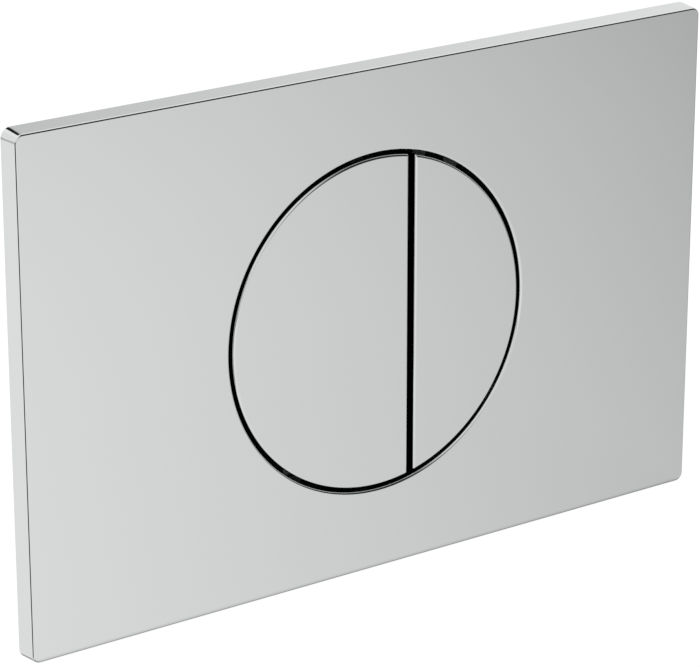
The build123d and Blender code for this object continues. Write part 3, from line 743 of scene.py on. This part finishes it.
def screw_head(tree, given):
    """Domed head above the seat, with a cross recess."""
    sizes = {"Radius": given["Head radius"], "Depth": given["Head"]}
    rows = {"Vertices": BAR_SIDES, "Side Segments": HEAD_ROWS}
    disc = add(tree, "GeometryNodeMeshCylinder", {**sizes, **rows})
    place = add(tree, "GeometryNodeInputPosition").outputs["Position"]
    share = maths(tree, "ADD", maths(tree, "DIVIDE", axes_of(tree, place)["Z"], given["Head"]), 0.5)
    loss = maths(tree, "MULTIPLY", maths(tree, "POWER", share, DOME_POWER), DOME_LOSS)
    width = maths(tree, "SQRT", maths(tree, "SUBTRACT", 1.0, loss))
    narrowed = combined(tree, "MULTIPLY", place, vector(tree, width, width, 1.0))
    dome = add(tree, "GeometryNodeSetPosition", {"Geometry": disc.outputs["Mesh"], "Position": narrowed})
    depth = maths(tree, "MULTIPLY", given["Recess depth"], 2.0)
    top = vector(tree, z=maths(tree, "DIVIDE", given["Head"], 2.0))
    whole = {"Mesh 1": dome.outputs["Geometry"]}
    cut = add(tree, "GeometryNodeMeshBoolean", whole, operation="DIFFERENCE", solver="EXACT")
    for long, short in (("Recess length", "Recess width"), ("Recess width", "Recess length")):
        arm = add(tree, "GeometryNodeMeshCube", {"Size": vector(tree, given[long], given[short], depth)})
        tree.links.new(moved(tree, arm.outputs["Mesh"], top), cut.inputs["Mesh 2"])
    return moved(tree, cut.outputs["Mesh"], top)


def screw_shank(tree, given):
    """Threaded shank below the seat, with a blunt point."""
    crest = given["Shank radius"]
    depth = given["Thread depth"]
    point = maths(tree, "MULTIPLY", crest, POINT_LENGTH)
    root = maths(tree, "SUBTRACT", crest, depth)
    foot = maths(tree, "MULTIPLY", given["Shank"], -1.0)
    tip = taper(tree, maths(tree, "MULTIPLY", root, POINT_WIDTH), root, point, foot, THREAD_SIDES)
    run = maths(tree, "SUBTRACT", given["Shank"], point)
    start = maths(tree, "ADD", foot, point)
    return joined(tree, tip, threaded_bar(tree, crest, depth, given["Pitch"], run, start, SCREW_SIDES))


# Bevel of the studs' collars as a share of their thickness
COLLAR_BEVEL = 0.15


class FLUSHPLATE_OT_fixings(bpy.types.Operator):
    """Threads both fixing studs and finishes their washers and wing nuts"""

    bl_idname = "flushplate.fixings"
    bl_label = "Studs, washers and wing nuts"

    def execute(self, context):
        sizes = context.scene.plate_sizes
        for side in ("left", "right"):
            finish_nodes(context, "zinc_plating", f"{side}_washer", f"{side}_wing_nut")
        low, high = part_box("left_fixing_stud")
        middle = middle_of("left_fixing_stud")
        collar_front = high.y - sizes.stud_length - sizes.stud_collar
        values = {
            "Rear radius": sizes.stud_radius,
            "Rear depth": sizes.stud_thread,
            "Rear pitch": sizes.stud_pitch,
            "Rear length": sizes.stud_length,
            "Front radius": sizes.nut_radius,
            "Front depth": sizes.nut_thread,
            "Front pitch": sizes.nut_pitch,
            "Front length": collar_front - low.y,
            "Collar radius": (high.x - low.x) / 2,
            "Collar": sizes.stud_collar,
            "Chamfer": sizes.stud_chamfer,
            "Spread": 2 * abs(middle.x),
        }
        seat = {"Seat": (0.0, collar_front, middle.z)}
        tree, given = new_tree("fixing_studs", {**dict.fromkeys(values, FLOAT), "Seat": VECTOR})
        stud = joined(tree, stud_front(tree, given), stud_collar(tree, given), stud_rear(tree, given))
        left = vector(tree, maths(tree, "DIVIDE", given["Spread"], -2.0))
        right = vector(tree, maths(tree, "DIVIDE", given["Spread"], 2.0))
        ends = {"Count": 2, "Start Location": left, "Offset": right}
        line = add(tree, "GeometryNodeMeshLine", ends, mode="END_POINTS")
        seats = moved(tree, line.outputs["Mesh"], given["Seat"])
        copies = {"Points": seats, "Instance": stud, "Rotation": TO_WALL}
        placed = add(tree, "GeometryNodeInstanceOnPoints", copies)
        end_tree(tree, placed.outputs["Instances"], finish(context, "zinc_plating"))
        piece = plain_mesh(context, "fixing_stud_pair", tree, {**values, **seat})
        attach(piece, "plate")
        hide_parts("left_fixing_stud", "right_fixing_stud")
        return {"FINISHED"}


def stud_thread(tree, given, end):
    """What the thread at one end of a stud needs: its sizes, the radius at its root and that at its tip."""
    crest, depth, pitch = (given[f"{end} {size}"] for size in ("radius", "depth", "pitch"))
    root = maths(tree, "SUBTRACT", crest, depth)
    tip = maths(tree, "SUBTRACT", root, maths(tree, "DIVIDE", given["Chamfer"], 2.0))
    run = maths(tree, "SUBTRACT", given[f"{end} length"], given["Chamfer"])
    return (crest, depth, pitch, run), root, tip


def stud_front(tree, given):
    """Thread in front of the collar, which takes the wing nut."""
    thread, root, tip = stud_thread(tree, given, "Front")
    foot = maths(tree, "MULTIPLY", given["Front length"], -1.0)
    start = maths(tree, "ADD", foot, given["Chamfer"])
    return joined(tree, taper(tree, tip, root, given["Chamfer"], foot), threaded_bar(tree, *thread, start))


def stud_collar(tree, given):
    """Collar with both edges bevelled."""
    radius = given["Collar radius"]
    bevel = maths(tree, "MULTIPLY", given["Collar"], COLLAR_BEVEL)
    rim = maths(tree, "SUBTRACT", radius, bevel)
    upper = maths(tree, "SUBTRACT", given["Collar"], bevel)
    straight = bar(tree, radius, maths(tree, "SUBTRACT", upper, bevel), bevel)
    return joined(
        tree, taper(tree, rim, radius, bevel, 0.0), straight, taper(tree, radius, rim, bevel, upper)
    )


def stud_rear(tree, given):
    """Thread behind the collar, which goes into the cistern."""
    thread, root, tip = stud_thread(tree, given, "Rear")
    end = maths(tree, "ADD", given["Collar"], thread[-1])
    straight = threaded_bar(tree, *thread, given["Collar"])
    return joined(tree, straight, taper(tree, root, tip, given["Chamfer"], end))


# Bevel of the push rods' shoulders as a share of their tips' chamfer
SHOULDER_BEVEL = 0.4


class FLUSHPLATE_OT_rods(bpy.types.Operator):
    """Makes the push rods with their setting threads, and finishes their caps and guides"""

    bl_idname = "flushplate.rods"
    bl_label = "Push rods, caps and guides"

    def execute(self, context):
        sizes = context.scene.plate_sizes
        low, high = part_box("full_flush_push_rod")
        values = {
            "Radius": sizes.rod_radius,
            "Thread depth": sizes.rod_thread,
            "Pitch": sizes.rod_pitch,
            "Thread length": sizes.rod_thread_length,
            "Length": high.y - low.y - sizes.rod_tip_length,
            "Tip radius": sizes.rod_tip_radius,
            "Tip length": sizes.rod_tip_length,
            "Chamfer": sizes.rod_chamfer,
        }
        tree, given = new_tree("push_rod", {**dict.fromkeys(values, FLOAT), "Seat": VECTOR})
        rod = joined(tree, rod_thread(tree, given), rod_bar(tree, given), rod_tip(tree, given))
        end_tree(tree, moved(tree, rod, given["Seat"], TO_WALL), finish(context, "rod_moulding"))
        for button in ("full", "half"):
            finish_nodes(context, "rod_moulding", f"{button}_flush_rod_cap")
            finish_nodes(context, "guide_moulding", f"{button}_flush_rod_guide")
            node = f"{button}_flush_push_rod"
            middle = middle_of(node)
            seat = {"Seat": (middle.x, low.y, middle.z)}
            piece = plain_mesh(context, f"{button}_flush_threaded_rod", tree, {**values, **seat})
            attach(piece, f"{button}_rod")
            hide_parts(node)
        return {"FINISHED"}


def rod_thread(tree, given):
    """Setting thread that the cap is screwed on to."""
    sizes = (given[label] for label in ("Radius", "Thread depth", "Pitch", "Thread length"))
    return threaded_bar(tree, *sizes, 0.0)


def rod_bar(tree, given):
    """Plain length behind the setting thread, with a bevelled shoulder."""
    bevel = maths(tree, "MULTIPLY", given["Chamfer"], SHOULDER_BEVEL)
    shoulder = maths(tree, "SUBTRACT", given["Length"], bevel)
    run = maths(tree, "SUBTRACT", shoulder, given["Thread length"])
    rim = maths(tree, "SUBTRACT", given["Radius"], bevel)
    straight = bar(tree, given["Radius"], run, given["Thread length"])
    return joined(tree, straight, taper(tree, given["Radius"], rim, bevel, shoulder))


def rod_tip(tree, given):
    """Slimmer end that meets the flush valve's lever."""
    run = maths(tree, "SUBTRACT", given["Tip length"], given["Chamfer"])
    end = maths(tree, "ADD", given["Length"], run)
    point = maths(tree, "SUBTRACT", given["Tip radius"], given["Chamfer"])
    straight = bar(tree, given["Tip radius"], run, given["Length"])
    return joined(tree, straight, taper(tree, given["Tip radius"], point, given["Chamfer"], end))


class FLUSHPLATE_OT_frame(bpy.types.Operator):
    """Finishes the mounting frame"""

    bl_idname = "flushplate.frame"
    bl_label = "Mounting frame"

    def execute(self, context):
        finish_nodes(context, "frame_moulding", "mounting_frame")
        return {"FINISHED"}


class FLUSHPLATE_OT_studio(bpy.types.Operator):
    """Sets the floor, the black flag, the backdrop, the soft lights and the camera"""

    bl_idname = "flushplate.studio"
    bl_label = "Studio"

    def execute(self, context):
        studio = context.scene.plate_studio
        context.scene.view_settings.view_transform = "Standard"
        set_floor(context, studio)
        set_edge_flag(context, studio)
        set_world(context, studio)
        set_lights(context)
        set_camera(context, studio)
        return {"FINISHED"}


def stage_sheet(context, name, corners):
    """A flat sheet of the stage with an empty material."""
    mesh = bpy.data.meshes.new(name)
    mesh.from_pydata(corners, [], [tuple(range(len(corners)))])
    sheet = bpy.data.objects.new(name, mesh)
    context.scene.collection.objects.link(sheet)
    material = bpy.data.materials.new(name)
    material.use_nodes = True
    material.node_tree.nodes.clear()
    mesh.materials.append(material)
    return sheet


def mix_surfaces(tree, factor, first, second):
    """Ends a sheet's material with the first shader where the factor is 0 and the second where it is 1."""
    mix = add(tree, "ShaderNodeMixShader", {"Fac": factor, 1: first, 2: second})
    add(tree, "ShaderNodeOutputMaterial", {"Surface": mix.outputs["Shader"]})


def painted(tree, colour):
    """A matt shader."""
    return add(tree, "ShaderNodeBsdfDiffuse", {"Color": (*colour, 1.0)}).outputs["BSDF"]


def either(tree, factor, first, second):
    """The first number where the factor is 0 and the second where it is 1."""
    return mixed(tree, "FLOAT", factor, first, second)


def darker(tree, factor, shade):
    """What is left of a brightness that a shade takes its share of where the factor is 1."""
    return maths(tree, "SUBTRACT", 1.0, maths(tree, "MULTIPLY", factor, shade))


def seen_directly(tree):
    """1 where the camera, a mirror or glass sees the surface, and 1 where the camera alone does."""
    path = add(tree, "ShaderNodeLightPath").outputs
    mirrored = maths(tree, "MAXIMUM", path["Is Glossy Ray"], path["Is Transmission Ray"])
    return maths(tree, "MAXIMUM", path["Is Camera Ray"], mirrored), path["Is Camera Ray"]


def set_floor(context, studio):
    """A plain white floor under the plate; in the chrome it has a painted light falloff towards the right,
    with painted shade at the plate's foot and to its right.
    """
    half = studio.floor_span / 2
    level = cad_box[0].z
    corners = [(-half, -half, level), (half, -half, level), (half, half, level), (-half, half, level)]
    tree = stage_sheet(context, "studio_floor", corners).active_material.node_tree
    place = add(tree, "ShaderNodeTexCoord").outputs["Object"]
    # Painted shade and painted light falloff of the floor, which only mirror rays see; the camera sees plain
    # white
    shades = maths(tree, "MULTIPLY", foot_shade(tree, place, studio), side_shade(tree, place, studio))
    mirrored = maths(tree, "MULTIPLY", painted_floor_falloff(tree, place, studio), shades)
    seen, camera = seen_directly(tree)
    glow = add(tree, "ShaderNodeEmission", {"Strength": either(tree, camera, mirrored, studio.white)})
    share = maths(tree, "MULTIPLY", seen, studio.floor_glow)
    mix_surfaces(tree, share, painted(tree, studio.floor_paint), glow.outputs["Emission"])


def painted_floor_falloff(tree, place, studio):
    """Painted light falloff of the floor in the chrome: a bowed slope near the plate and one level far from
    it.
    """
    sloped = maths(tree, "ADD", along(tree, place, studio.floor_slope), studio.floor_level)
    bow = maths(tree, "POWER", maths(tree, "ABSOLUTE", along(tree, place, studio.floor_bow)), 2.0)
    near = between(tree, maths(tree, "SUBTRACT", sloped, bow), *studio.floor_limits)
    return either(tree, ramp(tree, length(tree, place), *studio.far_range), near, studio.far_level)


def foot_shade(tree, place, studio):
    """Shade where the plate meets the floor."""
    low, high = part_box("front_plate")
    axes = axes_of(tree, place)
    inside = ramp(tree, axes["Y"], low.y - studio.foot_reach, low.y)
    across = maths(tree, "LESS_THAN", maths(tree, "ABSOLUTE", axes["X"]), high.x)
    return darker(tree, maths(tree, "MULTIPLY", inside, across), studio.foot_shade)


def side_shade(tree, place, studio):
    """A fan of shade on the floor to the right of the plate, which draws its right edge."""
    low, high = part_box("front_plate")
    axes = axes_of(tree, place)
    forward = maths(tree, "SUBTRACT", low.y, axes["Y"])
    turn = maths(tree, "ARCTAN2", forward, maths(tree, "SUBTRACT", axes["X"], high.x))
    fan = maths(tree, "MULTIPLY", ramp(tree, turn, *studio.side_front), ramp(tree, turn, *studio.side_back))
    return darker(tree, fan, studio.side_shade)


def set_edge_flag(context, studio):
    """A narrow black flag with soft sides beside the plate's left edge, seen only in the chrome."""
    low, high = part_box("front_plate")
    foot = Vector((low.x, low.y, low.z + studio.edge_flag_lift))
    steps = (studio.edge_flag_near, studio.edge_flag_far, studio.edge_flag_toe, studio.edge_flag_heel)
    near, far, toe, heel = (foot + Vector(step) for step in steps)
    top = high.z + studio.edge_flag_over
    upright = [near, far, (far.x, far.y, top), (near.x, near.y, top)]
    for name, corners in (("edge_flag", upright), ("edge_flag_foot", [toe, heel, far, near])):
        flag = stage_sheet(context, name, corners)
        tree = flag.active_material.node_tree
        axes = axes_of(tree, add(tree, "ShaderNodeTexCoord").outputs["Object"])
        forward = maths(tree, "SUBTRACT", low.y, axes["Y"])
        turn = maths(tree, "ARCTAN2", forward, maths(tree, "SUBTRACT", low.x, axes["X"]))
        back = ramp(tree, turn, *studio.edge_flag_back)
        sides = maths(tree, "MULTIPLY", back, ramp(tree, turn, *studio.edge_flag_front))
        dark = maths(tree, "MULTIPLY", sides, ramp(tree, axes["Z"], top, top - studio.edge_flag_fade))
        open_air = add(tree, "ShaderNodeBsdfTransparent").outputs["BSDF"]
        mix_surfaces(tree, dark, open_air, painted(tree, studio.edge_flag_paint))
        flag.visible_camera = False
        flag.visible_diffuse = False
        flag.visible_shadow = False


def set_world(context, studio):
    """White to the camera, soft light to matt surfaces; in the chrome a bright backdrop and a dim room."""
    world = bpy.data.worlds.new("studio_world")
    context.scene.world = world
    world.use_nodes = True
    tree = world.node_tree
    tree.nodes.clear()
    look = add(tree, "ShaderNodeTexCoord").outputs["Generated"]
    axes = axes_of(tree, look)
    room = either(tree, ramp(tree, axes["X"], *studio.room_range), studio.front_level, studio.room_level)
    behind = ramp(tree, axes["Y"], *studio.behind_range)
    mirrored = either(tree, behind, room, sky_brightness(tree, look, studio))
    seen, camera = seen_directly(tree)
    level = either(tree, seen, studio.fill_level, either(tree, camera, mirrored, studio.white))
    background = add(tree, "ShaderNodeBackground", {"Color": (1.0, 1.0, 1.0, 1.0), "Strength": level})
    add(tree, "ShaderNodeOutputWorld", {"Surface": background.outputs["Background"]})


def sky_brightness(tree, look, studio):
    """Brightness of the backdrop and ceiling in the chrome, with a black flag high behind the plate."""
    axes = axes_of(tree, look)
    graded = maths(tree, "ADD", along(tree, look, studio.sky_slope), studio.sky_level)
    right = between(tree, graded, *studio.sky_limits)
    backdrop = either(tree, ramp(tree, axes["X"], *studio.left_range), right, studio.left_level)
    ceiling = ramp(tree, axes["Z"], *studio.ceiling_range, 0.0, studio.ceiling_gain)
    lifted = maths(tree, "ADD", backdrop, ceiling)
    towards = along(tree, look, Vector(studio.sky_flag).normalized())
    inner, outer = (math.cos(math.radians(angle)) for angle in studio.sky_flag_cone)
    return maths(tree, "MULTIPLY", lifted, ramp(tree, towards, inner, outer, studio.sky_flag_level, 1.0))


def set_lights(context):
    """Two soft boxes in front and one behind, which the chrome doesn't show."""
    boxes = (
        ("key_light", (-0.9, -0.9, 1.1), 0.8, 9.0),
        ("fill_light", (1.1, -0.7, 0.8), 0.9, 5.0),
        ("back_light", (0.3, 1.3, 1.0), 0.9, 7.0),
    )
    for name, place, side, power in boxes:
        lamp = bpy.data.lights.new(name, "AREA")
        lamp.size = side
        lamp.energy = power
        light = bpy.data.objects.new(name, lamp)
        light.visible_glossy = False
        stand(context, light, Vector(place), Vector())


def set_camera(context, studio):
    """The photograph's viewpoint."""
    data = bpy.data.cameras.new("camera")
    data.lens = studio.camera_lens
    data.clip_start = 0.01
    data.clip_end = 50.0
    camera = bpy.data.objects.new("camera", data)
    stand(context, camera, Vector(studio.camera_place), Vector(studio.camera_aim))
    context.scene.camera = camera


def stand(context, thing, place, aim):
    """Stands a light or the camera at a place, aimed at another."""
    thing.location = place
    thing.rotation_mode = "QUATERNION"
    thing.rotation_quaternion = (aim - place).to_track_quat("-Z", "Y")
    context.scene.collection.objects.link(thing)


class FLUSHPLATE_PT_panel(bpy.types.Panel):
    """Lists the steps that dress the plate"""

    bl_idname = "FLUSHPLATE_PT_panel"
    bl_label = "Flush plate"
    bl_space_type = "VIEW_3D"
    bl_region_type = "UI"
    bl_category = "Flush plate"

    def draw(self, context):
        for step in STEPS:
            self.layout.operator(step.bl_idname)


GROUPS = {"plate_sizes": PlateSizes, "plate_colours": PlateColours, "plate_studio": PlateStudio}
STEPS = (
    FLUSHPLATE_OT_front,
    FLUSHPLATE_OT_rockers,
    FLUSHPLATE_OT_springs,
    FLUSHPLATE_OT_carrier,
    FLUSHPLATE_OT_screws,
    FLUSHPLATE_OT_fixings,
    FLUSHPLATE_OT_rods,
    FLUSHPLATE_OT_frame,
    FLUSHPLATE_OT_studio,
)


def register():
    for cls in (*GROUPS.values(), *STEPS, FLUSHPLATE_PT_panel):
        bpy.utils.register_class(cls)
    for name, cls in GROUPS.items():
        setattr(bpy.types.Scene, name, PointerProperty(type=cls))


def unregister():
    for name in GROUPS:
        delattr(bpy.types.Scene, name)
    for cls in reversed((*GROUPS.values(), *STEPS, FLUSHPLATE_PT_panel)):
        bpy.utils.unregister_class(cls)


def main():
    register()
    bpy.ops.flushplate.front()
    bpy.ops.flushplate.rockers()
    bpy.ops.flushplate.springs()
    bpy.ops.flushplate.carrier()
    bpy.ops.flushplate.screws()
    bpy.ops.flushplate.fixings()
    bpy.ops.flushplate.rods()
    bpy.ops.flushplate.frame()
    bpy.ops.flushplate.studio()


if __name__ == "__main__":
    main()
